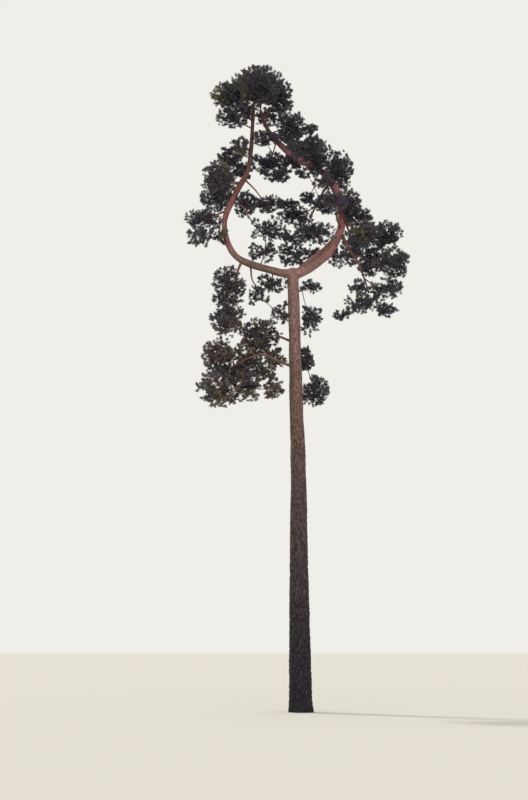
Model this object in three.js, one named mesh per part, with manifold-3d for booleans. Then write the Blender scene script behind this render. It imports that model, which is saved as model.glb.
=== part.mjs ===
// A Scots pine 19 m tall. Its bare trunk forks at 12.3 m into two heavy limbs that bow apart and close again
// under the cap of the crown, so that they frame an open ring. Boughs leave these limbs and the upper
// trunk, and each ends where it enters a cloud of needle sprays. Millimetres, +Z up, +X to the right along
// the ring's face, +Y away from it. The origin is the middle of the flat cut at ground level.

import * as THREE from "three";
import { mergeVertices } from "three/addons/utils/BufferGeometryUtils.js";
import Module from "manifold-3d";

const wasm = await Module();
wasm.setup();

// Driving dimensions
const CLEAR = 0.35; // gap left between one piece and the next
const TRUNK_SIDES = 16;
const LIMB_SIDES = 8;
const BOUGH_SIDES = 6;
const RING_STEP = 330; // distance between the sections of a limb
const ROD_LENGTH = 150; // length of the straight rods that stand for a limb when distances to it are measured
const TRUNK_SECTIONS = [0, 0.008, 0.02, 0.04, 0.08, 0.14, 0.22, 0.32, 0.42, 0.52, 0.62, 0.72, 0.82, 0.91, 1];
const ROOT_FLARE = 38; // how far the root flare stands out of the trunk at the ground
const FLARE_HEIGHT = 260; // height over which the flare fades
const FLARE_RIDGES = 5;
const CROTCH = [[60, 0.86], [105, 0.45]]; // rise and share of the width of the trunk's rounded top

const SPRAY_SHARE = 0.8; // a spray's length as a share of the way from its lobe's middle to its tip
const [SHORTEST_SPRAY, LONGEST_SPRAY] = [320, 660];
const SPRAY_GAP = 6; // least distance between two sprays of a cloud
const SPRAY_EDGE = [[0.5, 0.42], [0.6, 0.15], [1, 0]]; // outer tooth, notch and front tooth, in spray lengths
const SPRAY_MIDDLE = 0.42; // where a spray is thickest
const SPRAY_THICKNESS = 0.06; // half of that thickness
const [OUTWARD, UPWARD] = [0.8, 0.3]; // how a spray leans: out of its lobe, and up
const ROLL = 1.2; // the most that a spray turns about its own length, either way, in radians
const SPRAY_ROOM = 0.45e6; // area of a lobe's surface for each spray
const THIN = 1.6; // more room for each spray where the foliage is thin
const TWIG_RADIUS = 6.5; // a twig that bears one spray; the radius grows with the square root of the load
const STEM_TIP = 17; // radius of a stem's end
const STEM_TAPER = 1.8; // how much wider its foot is
const TWIG_SHARE = 0.4; // a twig's foot is at most this share of what it leaves
const BEARER_GAIN = 1.5; // how much thicker a twig is that bears another
const TWIG_CLEAR = 14; // least distance of a twig or spray from the wood of another piece
const STEM_SHARE = 0.88; // a stem's foot is at most this share of the limb that it leaves
const JOINT_STEP = 90; // distance between the joints of a stem
const [MOST_FROM_STEM, MOST_FROM_TWIG] = [2, 1]; // twigs that leave one joint
const FORK_SHARE = 0.5; // how far along a twig the next one leaves it
const PATH_COST = 0.35; // how strongly a twig prefers a short way back to the foot of the stem
const SPACE_REACH = 1.2; // how far a spray's teeth may pass the surface of its lobe
const [INNER_TIP, OUTER_TIP] = [0.9, 1.06]; // where the tips of the sprays lie, as shares of their lobe
const TRIES = 120; // places tried for each spray
const CHOICE = 8; // places that it picks from
const WAYS = 8; // joints tried for each twig
const [FIRST_SEED, SEED_STEP] = [101, 37];

// The long members: the points that their axes pass through, their radius at each point, the pieces that
// each is made in, by the share of the way along it, and the members that it is cut clear of
const MEMBERS = {
  trunk: {
    through: [[0, 0, 0], [-20, 0, 1870], [-26, 0, 4010], [-22, 0, 6220], [-73, 0, 8490], [-112, 0, 10850],
      [-150, 0, 12300]],
    radii: [308, 284, 250, 217, 190, 164, 166],
  },
  left: {
    through: [[-150, 0, 12240], [-667, -45, 12305], [-1789, -170, 12735], [-2127, -250, 13705],
      [-1800, -195, 14681], [-1419, -110, 15608], [-1290, -100, 17450]],
    radii: [118, 110, 88, 74, 78, 62, 42],
    pieces: { limb_left_low: [0, 0.46], limb_left_high: [0.46, 1] },
    cutBy: ["trunk"],
  },
  right: {
    through: [[-130, 0, 12180], [460, 50, 12525], [1008, 150, 13099], [1310, 250, 14043], [923, 250, 15321],
      [-154, 200, 16041], [-829, 200, 16805], [-1090, 140, 17420]],
    radii: [146, 138, 126, 110, 100, 90, 60, 42],
    pieces: { limb_right_low: [0, 0.38], limb_right_mid: [0.38, 0.7], limb_right_high: [0.7, 1] },
    cutBy: ["trunk", "left"],
  },
  inner: {
    through: [[-20, -10, 12300], [380, 60, 12720], [770, 200, 13060], [1020, 420, 13420]],
    radii: [52, 46, 38, 28],
    pieces: { limb_inner: [0, 1] },
    cutBy: ["trunk", "left", "right"],
  },
};

// Boughs: the member that each leaves, the share of the way along that, the points it passes, and its radius
// at its foot and its tip
const BOUGHS = {
  bough_ring_left: {
    from: "left", at: 0.76, radii: [26, 18],
    through: [[-1300, -150, 14860], [-1090, -60, 14620]],
  },
  bough_ring_thin: {
    from: "left", at: 0.624, radii: [24, 14],
    through: [[-1600, -330, 14190], [-1370, -390, 13780], [-1240, -380, 13560]],
  },
  bough_ring_right: {
    from: "right", at: 0.556, radii: [44, 24],
    through: [[760, -40, 14730], [560, -150, 14330], [400, -220, 13930]],
  },
  bough_right_drop: {
    from: "right", at: 0.366, radii: [52, 22],
    through: [[1530, 60, 12960], [1810, -20, 12400], [2030, -90, 11620]],
  },
  bough_right_reach: {
    from: "right", at: 0.415, radii: [44, 26],
    through: [[1490, 60, 13780], [1610, -130, 13560]],
  },
  bough_left_drop: {
    from: "left", at: 0.302, radii: [40, 24],
    through: [[-1760, -230, 12120], [-1800, -260, 11420]],
  },
  bough_under_fork: {
    from: "left", at: 0.269, radii: [26, 15],
    through: [[-1330, -60, 12100], [-1190, 0, 11840]],
  },
  bough_low_arch: {
    from: "trunk", at: 0.731, radii: [46, 24],
    through: [[-500, -150, 9570], [-920, -270, 9730], [-1340, -380, 9660], [-1920, -500, 9300]],
  },
  bough_low_left: {
    from: "trunk", at: 0.78, radii: [40, 26],
    through: [[-380, 170, 10330], [-640, 300, 10480]],
  },
  bough_left_reach: {
    from: "left", at: 0.566, radii: [36, 24],
    through: [[-2240, -300, 14010], [-2420, -320, 13890]],
  },
  bough_right_back: {
    from: "right", at: 0.442, radii: [40, 26],
    through: [[1440, 600, 13990], [1590, 1050, 13830]],
  },
  bough_left_back: {
    from: "left", at: 0.781, radii: [38, 26],
    through: [[-1740, 240, 15190], [-2030, 740, 15400]],
  },
  bough_front_right: {
    from: "right", at: 0.376, radii: [36, 24],
    through: [[1150, -300, 13800], [1080, -940, 13920]],
  },
};

// Clouds of foliage: what each grows from, the share of the way along that, whether it is thin, and its space
// as one or more lobes, each the middle of an ellipsoid and its three half axes
const CLOUDS = {
  cap_front: { from: "left", at: 1, lobes: [[-1140, -600, 17870, 800, 850, 440]] },
  cap_back: { from: "right", at: 1, lobes: [[-1160, 900, 18690, 800, 900, 440]] },
  cap_left: { from: "left", at: 0.962, lobes: [[-2020, -150, 17790, 560, 950, 240]] },
  cap_right: { from: "right", at: 0.952, lobes: [[-570, 250, 17980, 480, 950, 290]] },
  skirt_left: { from: "left", at: 0.941, thin: true, lobes: [[-1910, -350, 17050, 540, 700, 220]] },
  skirt_right: { from: "right", at: 0.927, thin: true, lobes: [[-900, 750, 17590, 500, 650, 190]] },
  shoulder_high: {
    from: "right", at: 0.846,
    lobes: [[-210, 150, 17000, 430, 850, 390], [290, 0, 16800, 320, 300, 130]],
  },
  shoulder_front: { from: "right", at: 0.722, lobes: [[260, -900, 15740, 620, 650, 290]] },
  shoulder_back: { from: "right", at: 0.702, lobes: [[470, 1250, 16650, 590, 700, 290]] },
  shoulder_low: { from: "right", at: 0.573, lobes: [[1230, 350, 15560, 450, 1050, 470]] },
  flank_right: {
    from: "right", at: 0.484,
    lobes: [[1490, 250, 14370, 370, 1000, 430], [1880, 700, 14250, 330, 500, 230]],
  },
  reach_right_high: {
    from: "bough_right_reach", at: 1,
    lobes: [[1880, -750, 13150, 460, 800, 310], [2570, 150, 13430, 460, 850, 360]],
  },
  reach_right_mid: {
    from: "bough_right_drop", at: 0.4,
    lobes: [[2200, 700, 12950, 420, 600, 300], [2780, -250, 12440, 560, 800, 370]],
  },
  drop_right_high: {
    from: "bough_right_drop", at: 0.82,
    lobes: [[2480, -350, 11620, 550, 600, 250], [1740, -750, 11560, 300, 450, 170]],
  },
  drop_right_low: {
    from: "bough_right_drop", at: 1, thin: true,
    lobes: [[1810, 100, 11280, 580, 650, 220], [2490, -400, 11000, 330, 500, 180],
      [1330, 350, 11080, 330, 400, 120]],
  },
  back_right: { from: "bough_right_back", at: 1, lobes: [[1780, 1600, 13770, 440, 650, 470]] },
  high_left: {
    from: "left", at: 0.883,
    lobes: [[-1650, -450, 16010, 300, 500, 240], [-1990, 100, 15890, 380, 700, 290]],
  },
  shoulder_left: { from: "left", at: 0.738, lobes: [[-2280, -750, 14990, 420, 800, 280]] },
  flank_left: { from: "left", at: 0.635, lobes: [[-2400, 0, 14680, 480, 1000, 320]] },
  reach_left: {
    from: "bough_left_reach", at: 1, thin: true,
    lobes: [[-2790, 150, 13990, 630, 590, 260], [-2830, -600, 13190, 360, 500, 250],
      [-2280, -450, 13260, 320, 400, 230]],
  },
  back_left: { from: "bough_left_back", at: 1, lobes: [[-2320, 1300, 15690, 440, 650, 550]] },
  ring_top: {
    from: "right", at: 0.802,
    lobes: [[-830, 650, 15990, 620, 550, 320], [-930, -100, 16430, 470, 450, 160]],
  },
  ring_band: {
    from: "bough_ring_left", at: 1, thin: true,
    lobes: [[-860, 150, 14460, 440, 500, 210], [-280, 450, 14590, 360, 350, 110]],
  },
  ring_right_high: {
    from: "bough_ring_right", at: 0.4,
    lobes: [[760, -550, 14230, 430, 500, 340], [260, -150, 15290, 420, 350, 110]],
  },
  ring_middle: { from: "bough_ring_right", at: 0.72, thin: true, lobes: [[-60, 430, 14210, 560, 450, 200]] },
  ring_right_low: { from: "bough_ring_right", at: 1, lobes: [[420, -450, 13320, 660, 700, 290]] },
  ring_left_low: { from: "bough_ring_thin", at: 1, thin: true, lobes: [[-820, -350, 13480, 540, 400, 300]] },
  ring_floor: {
    from: "left", at: 0.229, thin: true,
    lobes: [[-1000, 180, 12980, 520, 400, 280], [-200, 220, 13000, 450, 380, 260]],
  },
  drop_left_high: { from: "bough_left_drop", at: 0.5, lobes: [[-1950, -250, 11900, 470, 800, 480]] },
  drop_left_low: { from: "bough_left_drop", at: 1, lobes: [[-2030, -250, 10860, 500, 850, 520]] },
  under_fork: { from: "left", at: 0.181, lobes: [[-710, 100, 12000, 530, 450, 260]] },
  under_fork_low: {
    from: "bough_under_fork", at: 1, thin: true,
    lobes: [[-1150, 60, 11580, 320, 400, 330], [-480, 200, 11140, 270, 350, 340]],
  },
  low_left_high: { from: "bough_low_left", at: 1, lobes: [[-1090, 500, 10590, 660, 850, 360]] },
  low_left_mid: {
    from: "bough_low_arch", at: 0.74,
    lobes: [[-1480, 250, 9760, 560, 650, 440], [-2250, -150, 9780, 530, 850, 430]],
  },
  low_left_low: {
    from: "bough_low_arch", at: 1,
    lobes: [[-2250, -450, 8740, 600, 850, 500], [-1500, -300, 8820, 480, 700, 430]],
  },
  trunk_tuft_high: {
    from: "trunk", at: 0.925, thin: true,
    lobes: [[390, 350, 11950, 370, 350, 160], [330, 350, 10990, 330, 500, 500]],
  },
  trunk_tuft_low: {
    from: "trunk", at: 0.77,
    lobes: [[190, 350, 9780, 250, 450, 370], [450, 300, 8820, 430, 550, 420]],
  },
  drop_right_inner: {
    from: "right", at: 0.28, thin: true,
    lobes: [[1150, 450, 12900, 310, 450, 260], [1610, 900, 13070, 300, 400, 270]],
  },
  front_right: { from: "bough_front_right", at: 1, lobes: [[1060, -1440, 13880, 360, 500, 230]] },
};

const UP = new THREE.Vector3(0, 0, 1);
const vector = ([x, y, z]) => new THREE.Vector3(x, y, z);

// A seeded source of numbers from 0 to 1
function seeded(seed) {
  let state = seed;
  return () => {
    state = (state * 16807) % 2147483647;
    return state / 2147483647;
  };
}

// A closed shape from its corners and its triangles, and the solid of any closed geometry
function shapeOf(corners, triangles) {
  return new THREE.BufferGeometry()
    .setAttribute("position", new THREE.Float32BufferAttribute(corners.flatMap((p) => p.toArray()), 3))
    .setIndex(triangles.flat());
}

function solidOf(geometry) {
  const bare = geometry.clone();
  bare.deleteAttribute("normal");
  bare.deleteAttribute("uv");
  const merged = mergeVertices(bare, 1e-3);
  const vertProperties = merged.attributes.position.array;
  return new wasm.Manifold(
    new wasm.Mesh({ numProp: 3, vertProperties, triVerts: new Uint32Array(merged.index.array) }),
  );
}

function geometryOf(solid) {
  const { numVert, numProp, vertProperties, triVerts } = solid.getMesh();
  const places = new Float32Array(numVert * 3);
  for (let i = 0; i < numVert; i++) places.set(vertProperties.subarray(i * numProp, i * numProp + 3), i * 3);
  return new THREE.BufferGeometry()
    .setAttribute("position", new THREE.BufferAttribute(places, 3))
    .setIndex(new THREE.BufferAttribute(triVerts, 1));
}

const largestBody = (solid) => solid.decompose().reduce((a, b) => (a.volume() > b.volume() ? a : b));

// Whether a solid keeps at least a gap from each of the others
const clearOf = (solid, others, gap) => others.every((other) => solid.minGap(other, gap * 2) >= gap);

// An axis through its points, with a radius that runs smoothly from each point to the next
function axisThrough(through, radii) {
  const curve = new THREE.CatmullRomCurve3(through.map(vector), false, "catmullrom");
  const sizes = new THREE.CatmullRomCurve3(radii.map((r) => new THREE.Vector3(r, 0, 0)), false, "catmullrom");
  return {
    point: (share) => curve.getPoint(share),
    direction: (share) => curve.getTangent(share),
    radius: (share) => sizes.getPoint(share).x,
    length: curve.getLength(),
  };
}

// How far the ridged root flare stands out of the trunk at a height and an angle round it
function flareAt(height, angle) {
  const ridges = 1 + 0.45 * Math.cos(FLARE_RIDGES * angle + 0.6) + 0.2 * Math.cos(2 * angle);
  return ROOT_FLARE * ridges * Math.exp(-height / FLARE_HEIGHT);
}

// A skin of faces over a row of rings with the same number of corners, closed by a fan at each end
function skinOver(rings) {
  const sides = rings[0].corners.length;
  const corners = rings.flatMap((ring) => ring.corners);
  const [foot, top, last] = [corners.length, corners.length + 1, corners.length - sides];
  const triangles = [];
  for (let k = 0; k < sides; k++) {
    const next = (k + 1) % sides;
    for (let low = 0; low < last; low += sides) {
      const [a, b] = [low + k, low + next];
      triangles.push([a, b, b + sides], [a, b + sides, a + sides]);
    }
    triangles.push([foot, next, k], [top, last + k, last + next]);
  }
  return shapeOf([...corners, rings[0].middle, rings[rings.length - 1].middle], triangles);
}

// A tapering limb between two shares of its axis, with flat ends; grow thickens it all round and lengthens
// it, and trim shortens it at both ends
function limbSolid(axis, from, to, sides, grow = 0, trim = 0) {
  const steps = Math.max(3, Math.ceil((axis.length * (to - from)) / RING_STEP));
  const rings = [];
  let side = new THREE.Vector3(0, -1, 0);
  for (let i = 0; i <= steps; i++) {
    const share = from + ((to - from) * i) / steps;
    const along = axis.direction(share);
    const overrun = i === 0 ? trim - grow : i === steps ? grow - trim : 0;
    const middle = axis.point(share).addScaledVector(along, overrun);
    side = side.clone().addScaledVector(along, -side.dot(along)).normalize();
    rings.push(ringOf(middle, side, along.clone().cross(side), sides, () => axis.radius(share) + grow));
  }
  return solidOf(skinOver(rings));
}

function ringOf(middle, side, across, sides, reachAt) {
  const corners = Array.from({ length: sides }, (_, k) => {
    const angle = (2 * Math.PI * k) / sides;
    const reach = reachAt(angle);
    return middle.clone()
      .addScaledVector(side, reach * Math.cos(angle))
      .addScaledVector(across, reach * Math.sin(angle));
  });
  return { middle, corners };
}

// The trunk: level sections from the flat cut over the root flare to the fork, then a rounded top
function trunkSolid(grow = 0) {
  const [side, across] = [new THREE.Vector3(0, -1, 0), new THREE.Vector3(1, 0, 0)];
  const axis = axes.trunk;
  const rings = TRUNK_SECTIONS.map((share) => {
    const middle = axis.point(share);
    const reachAt = (angle) => axis.radius(share) + grow + flareAt(middle.z, angle);
    return ringOf(middle, side, across, TRUNK_SIDES, reachAt);
  });
  for (const [rise, share] of CROTCH) {
    const middle = axis.point(1).addScaledVector(UP, rise + grow);
    rings.push(ringOf(middle, side, across, TRUNK_SIDES, () => axis.radius(1) * share + grow));
  }
  return solidOf(skinOver(rings));
}

// Everything that has an axis, by name: the long members and the boughs that leave them
const axes = {};
for (const [name, { through, radii }] of Object.entries(MEMBERS)) axes[name] = axisThrough(through, radii);
for (const [name, { from, at, through, radii: [foot, tip] }] of Object.entries(BOUGHS)) {
  const points = [axes[from].point(at).toArray(), ...through];
  axes[name] = axisThrough(points, points.map((_, i) => foot + ((tip - foot) * i) / (points.length - 1)));
}

// The axes as chains of short rods, for measuring how near a point comes to the wood
const rods = Object.entries(axes).flatMap(([name, axis]) => {
  const count = Math.ceil(axis.length / ROD_LENGTH);
  return Array.from({ length: count }, (_, i) => {
    const [a, b] = [i / count, (i + 1) / count];
    const line = new THREE.Line3(axis.point(a), axis.point(b));
    return { name, line, radius: Math.max(axis.radius(a), axis.radius(b)) };
  });
});
const nearest = new THREE.Vector3();
const gapTo = ({ line, radius }, point) =>
  line.closestPointToPoint(point, true, nearest).distanceTo(point) - radius;
const clearOfWood = (cloud, point, gap) => cloud.rodsNear.every((rod) => gapTo(rod, point) > gap);

// The clouds of foliage, each with its lobes, the foot of its stem and the wood round it
const clouds = Object.entries(CLOUDS).map(([name, { from, at, thin, lobes }], index) => {
  const spaces = lobes.map(([x, y, z, a, b, c]) => ({
    middle: new THREE.Vector3(x, y, z),
    half: new THREE.Vector3(a, b, c),
  }));
  const reaches = ({ middle, half }, { line }) =>
    line.start.distanceTo(middle) < half.length() + LONGEST_SPRAY;
  return {
    name,
    from,
    foot: axes[from].point(at),
    footRadius: axes[from].radius(at) * STEM_SHARE,
    room: thin ? SPRAY_ROOM * THIN : SPRAY_ROOM,
    lobes: spaces,
    rodsNear: rods.filter((rod) => rod.name !== from && spaces.some((space) => reaches(space, rod))),
    random: seeded(FIRST_SEED + SEED_STEP * index),
  };
});

// How deep a point lies in a cloud: 0 at the middle of its nearest lobe, 1 at that lobe's surface
const offset = new THREE.Vector3();
const depthIn = (cloud, point) =>
  Math.min(...cloud.lobes.map(({ middle, half }) => offset.copy(point).sub(middle).divide(half).length()));

function keepsToSpace(cloud, point) {
  const own = depthIn(cloud, point);
  return own < SPACE_REACH && clouds.every((other) => other === cloud || depthIn(other, point) > own);
}
const isFree = (cloud, point) => keepsToSpace(cloud, point) && clearOfWood(cloud, point, TWIG_CLEAR);

// The outline of a spray's blade from its right shoulder to its left, and the two points of its thickness
function bladeOf({ root, along, length, roll }) {
  const side = along.clone().cross(UP).normalize().applyAxisAngle(along, roll);
  const lift = side.clone().cross(along);
  const at = (forward, across, high) =>
    root.clone()
      .addScaledVector(along, forward * length)
      .addScaledVector(side, across * length)
      .addScaledVector(lift, high * length);
  const right = SPRAY_EDGE.map(([forward, across]) => at(forward, across, 0));
  const left = SPRAY_EDGE.slice(0, -1).map(([forward, across]) => at(forward, -across, 0)).reverse();
  const thick = [SPRAY_THICKNESS, -SPRAY_THICKNESS].map((high) => at(SPRAY_MIDDLE, 0, high));
  return { side, lift, outline: [...right, ...left], thick };
}

// A three-cornered section of a twig: right, top and left
const sectionOf = (middle, side, lift, radius) =>
  [-30, 90, 210].map((degrees) => {
    const angle = THREE.MathUtils.degToRad(degrees);
    return middle.clone()
      .addScaledVector(side, radius * Math.cos(angle))
      .addScaledVector(lift, radius * Math.sin(angle));
  });

// The faces of a three-sided stalk: its closed foot at corners 0 to 2, its sides up to corners 3 to 5
const STALK = [[0, 1, 2], ...[0, 1, 2].flatMap((k) => {
  const next = (k + 1) % 3;
  return [[k, k + 3, next + 3], [k, next + 3, next]];
})];

// A twig with its spray as one closed shape: three sides from its foot to its waist, where the blade opens
function sprigSolid(from, footRadius, spray) {
  const { side, lift, outline, thick } = bladeOf(spray);
  const turn = new THREE.Quaternion();
  turn.setFromUnitVectors(spray.along, spray.root.clone().sub(from).normalize());
  const corners = [
    ...sectionOf(from, side.clone().applyQuaternion(turn), lift.clone().applyQuaternion(turn), footRadius),
    ...sectionOf(spray.root, side, lift, TWIG_RADIUS),
    ...outline,
    ...thick,
  ];
  const [top, under] = [corners.length - 2, corners.length - 1];
  const edge = [3, ...outline.map((_, i) => 6 + i), 5];
  const blade = edge.slice(1).flatMap((next, i) => [[top, edge[i], next], [under, next, edge[i]]]);
  return solidOf(shapeOf(corners, [...STALK, ...blade, [top, 5, 4], [top, 4, 3], [under, 3, 5]]));
}

// A bare three-sided length of stem
function stemSolid(from, to, footRadius, endRadius) {
  const along = to.clone().sub(from).normalize();
  const side = along.clone().cross(UP).normalize();
  const lift = side.clone().cross(along);
  const corners = [...sectionOf(from, side, lift, footRadius), ...sectionOf(to, side, lift, endRadius)];
  return solidOf(shapeOf(corners, [...STALK, [5, 4, 3]]));
}

// A spray with its tip somewhere on a lobe's surface: it leans out of the lobe and upwards and is rolled to
// one side, less so where the lobe is flat
function spraySomewhere({ middle, half }, random) {
  const tip = new THREE.Vector3(random() - 0.5, random() - 0.5, random() - 0.5);
  tip.setLength(INNER_TIP + (OUTER_TIP - INNER_TIP) * random()).multiply(half).add(middle);
  const out = tip.clone().sub(middle);
  const length = THREE.MathUtils.clamp(out.length() * SPRAY_SHARE, SHORTEST_SPRAY, LONGEST_SPRAY);
  const fullness = Math.min(1, half.z / half.x);
  const along = out.setLength(OUTWARD).addScaledVector(UP, UPWARD * fullness).normalize();
  const roll = ROLL * fullness * (2 * random() - 1);
  return { tip, along, length, roll, root: tip.clone().addScaledVector(along, -length) };
}

function sprayFits(cloud, spray) {
  const { outline, thick } = bladeOf(spray);
  return [spray.root, ...outline, ...thick].every((corner) => isFree(cloud, corner));
}

// Spreads sprays evenly over a lobe: each takes the place, of those found, that is furthest from the others
function scatter(cloud, lobe, sprays) {
  const { x, y, z } = lobe.half;
  const count = Math.max(2, Math.round((4 * Math.PI * (x * y + x * z + y * z)) / 3 / cloud.room));
  for (let i = 0; i < count; i++) {
    const found = [];
    for (let turn = 0; turn < TRIES && found.length < CHOICE; turn++) {
      const spray = spraySomewhere(lobe, cloud.random);
      if (sprayFits(cloud, spray)) found.push(spray);
    }
    const room = (spray) => Math.min(...sprays.map((other) => other.tip.distanceTo(spray.tip)));
    if (found.length) sprays.push(found.sort((a, b) => room(b) - room(a))[0]);
  }
}

// The stem's legs: each runs to the middle of a lobe from the nearest end or middle of the legs before it
function stemLegs({ foot, lobes }) {
  const legs = [];
  for (const { middle } of lobes) {
    const starts = legs.flatMap(({ from, to }) => [to, from.clone().lerp(to, 0.5)]);
    const nearer = (a, b) => (a.distanceTo(middle) < b.distanceTo(middle) ? a : b);
    legs.push({ from: starts.length ? starts.reduce(nearer) : foot, to: middle });
  }
  return legs;
}

// The joints of a leg, in even steps from just off its foot to its end
function legJoints({ from, to }, path) {
  const steps = Math.max(2, Math.round(from.distanceTo(to) / JOINT_STEP));
  return Array.from({ length: steps - 1 }, (_, i) => {
    const place = from.clone().lerp(to, (i + 2) / steps);
    return { place, path: path + from.distanceTo(place), free: MOST_FROM_STEM };
  });
}

// Whether a sprig can grow from a joint without leaving its space or crossing another sprig's blade
function sprigFits(cloud, joint, spray, sprigs) {
  const shares = [0.25, 0.5, 0.75];
  if (!shares.every((share) => isFree(cloud, joint.place.clone().lerp(spray.root, share)))) return null;
  const stalk = stemSolid(joint.place, spray.root, TWIG_RADIUS, TWIG_RADIUS);
  const blade = sprigSolid(spray.root.clone().addScaledVector(spray.along, -1), TWIG_RADIUS, spray);
  const blades = sprigs.map((sprig) => sprig.blade);
  const stalks = sprigs.map((sprig) => sprig.stalk);
  const fits = clearOf(stalk, blades, SPRAY_GAP) && clearOf(blade, [...blades, ...stalks], SPRAY_GAP);
  return fits ? { stalk, blade } : null;
}

// Joins each spray, the nearest first, to the joint with the shortest way back to the foot of the stem
function branch(cloud, legs) {
  const joints = [];
  for (const leg of legs) {
    const before = joints.find(({ place }) => place.distanceTo(leg.from) < JOINT_STEP);
    joints.push(...legJoints(leg, before ? before.path : 0));
  }
  const sprays = [];
  for (const lobe of cloud.lobes) scatter(cloud, lobe, sprays);
  sprays.sort((a, b) => a.root.distanceTo(cloud.foot) - b.root.distanceTo(cloud.foot));
  const twigs = [];
  for (const spray of sprays) {
    const cost = ({ place, path }) => place.distanceTo(spray.root) + PATH_COST * path;
    const open = joints.filter((joint) => joint.free > 0).sort((a, b) => cost(a) - cost(b));
    for (const bearer of open.slice(0, WAYS)) {
      const sprig = sprigFits(cloud, bearer, spray, twigs);
      if (!sprig) continue;
      const place = bearer.place.clone().lerp(spray.root, FORK_SHARE);
      const path = bearer.path + bearer.place.distanceTo(place);
      const twig = { ...sprig, place, path, bearer, spray, free: MOST_FROM_TWIG, load: 1 };
      for (let down = bearer; down.bearer; down = down.bearer) down.load += 1;
      bearer.free -= 1;
      joints.push(twig);
      twigs.push(twig);
      break;
    }
  }
  return twigs;
}

// A cloud as one solid: its stem, then sprig by sprig each one that stays clear of all that stands already
function cloudSolid(cloud, standing) {
  const legs = stemLegs(cloud);
  const radius = Math.min(cloud.footRadius, STEM_TIP * STEM_TAPER);
  const pieces = legs.map(({ from, to }, i) => {
    const sunk = from.clone().sub(to).setLength(i ? 0 : radius).add(from);
    return stemSolid(sunk, to, i ? STEM_TIP * TWIG_SHARE : radius, STEM_TIP);
  });
  const kept = new Set();
  for (const twig of branch(cloud, legs)) {
    const onTwig = twig.bearer.spray;
    if (onTwig && !kept.has(twig.bearer)) continue;
    twig.radius = twig.load > 1 ? TWIG_RADIUS * BEARER_GAIN * Math.sqrt(twig.load) : TWIG_RADIUS;
    const most = onTwig ? twig.bearer.radius : STEM_TIP;
    const sprig = sprigSolid(twig.bearer.place, Math.min(twig.radius, most * TWIG_SHARE), twig.spray);
    if (!clearOf(sprig, standing, CLEAR)) continue;
    kept.add(twig);
    pieces.push(sprig);
  }
  const whole = pieces.reduce((a, b) => a.add(b));
  return clearedOf(whole, [cloud.from]);
}

// Bark and foliage colours
const matt = (red, green, blue) =>
  new THREE.MeshStandardMaterial({ color: new THREE.Color(red, green, blue), roughness: 0.9, metalness: 0 });
const trunkBark = matt(0.2, 0.13, 0.11);
const limbBark = matt(0.36, 0.19, 0.12);
const needleGreen = matt(0.06, 0.085, 0.05);

const pine = new THREE.Group();
const standing = [];
function place(name, solid, material) {
  const mesh = new THREE.Mesh(geometryOf(solid), material);
  mesh.name = name;
  pine.add(mesh);
  standing.push(solid);
}

// Each member and bough with the clear gap added all round, to cut what meets it
const cutters = { trunk: trunkSolid(CLEAR) };
for (const [name, axis] of Object.entries(axes).slice(1)) {
  const parts = Object.values(MEMBERS[name]?.pieces ?? { whole: [0, 1] });
  const sides = name in MEMBERS ? LIMB_SIDES : BOUGH_SIDES;
  const grown = parts.map(([from, to]) => limbSolid(axis, from, to, sides, CLEAR));
  cutters[name] = grown.reduce((a, b) => a.add(b));
}

// A limb cut clear of others, with any scrap that the cut leaves dropped
const clearedOf = (solid, others) =>
  largestBody(others.reduce((rest, name) => rest.subtract(cutters[name]), solid));

place("trunk", trunkSolid(), trunkBark);
for (const [member, { pieces, cutBy }] of Object.entries(MEMBERS).slice(1)) {
  for (const [name, [from, to]] of Object.entries(pieces)) {
    place(name, clearedOf(limbSolid(axes[member], from, to, LIMB_SIDES, 0, CLEAR / 2), cutBy), limbBark);
  }
}
for (const [name, { from }] of Object.entries(BOUGHS)) {
  place(name, clearedOf(limbSolid(axes[name], 0, 1, BOUGH_SIDES), [from]), limbBark);
}
for (const cloud of clouds) place(`foliage_${cloud.name}`, cloudSolid(cloud, standing), needleGreen);

export default pine;
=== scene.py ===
# A Scots pine 19 m tall, in metres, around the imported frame: plated bark, bowed limbs, boughs, twigs and
# needles. The limbs and the boughs are the source's own. So are the spaces of the foliage, but for twenty
# added lobes that close gaps between them, and some that are moved or resized by up to 15 cm. In each space
# the crown grows on from its limb by the source's rule, carried down to single needles.

import math

import bpy
import numpy as np
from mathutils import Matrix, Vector, kdtree, noise


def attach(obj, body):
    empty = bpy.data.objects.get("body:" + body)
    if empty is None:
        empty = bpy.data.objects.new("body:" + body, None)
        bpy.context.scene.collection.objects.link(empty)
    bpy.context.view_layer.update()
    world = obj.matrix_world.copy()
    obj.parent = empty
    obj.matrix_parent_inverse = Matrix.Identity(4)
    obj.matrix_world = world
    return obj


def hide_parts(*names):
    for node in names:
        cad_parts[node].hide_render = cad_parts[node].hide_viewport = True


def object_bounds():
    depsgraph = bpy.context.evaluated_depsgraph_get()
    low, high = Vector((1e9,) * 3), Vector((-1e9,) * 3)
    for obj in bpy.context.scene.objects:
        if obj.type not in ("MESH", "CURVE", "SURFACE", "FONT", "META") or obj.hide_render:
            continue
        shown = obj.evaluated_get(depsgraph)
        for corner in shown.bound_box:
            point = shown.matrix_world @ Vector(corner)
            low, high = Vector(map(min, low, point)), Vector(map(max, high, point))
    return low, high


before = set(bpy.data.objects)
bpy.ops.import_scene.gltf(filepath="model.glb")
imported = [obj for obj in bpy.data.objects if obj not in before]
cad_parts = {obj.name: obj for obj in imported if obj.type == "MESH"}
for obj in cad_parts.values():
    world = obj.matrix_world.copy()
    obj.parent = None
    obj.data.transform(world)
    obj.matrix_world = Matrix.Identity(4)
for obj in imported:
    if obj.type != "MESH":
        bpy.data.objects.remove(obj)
CAD_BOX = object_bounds()
BOX_LOW, BOX_HIGH = (np.array(list(map(float, corner))) for corner in CAD_BOX)

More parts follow.
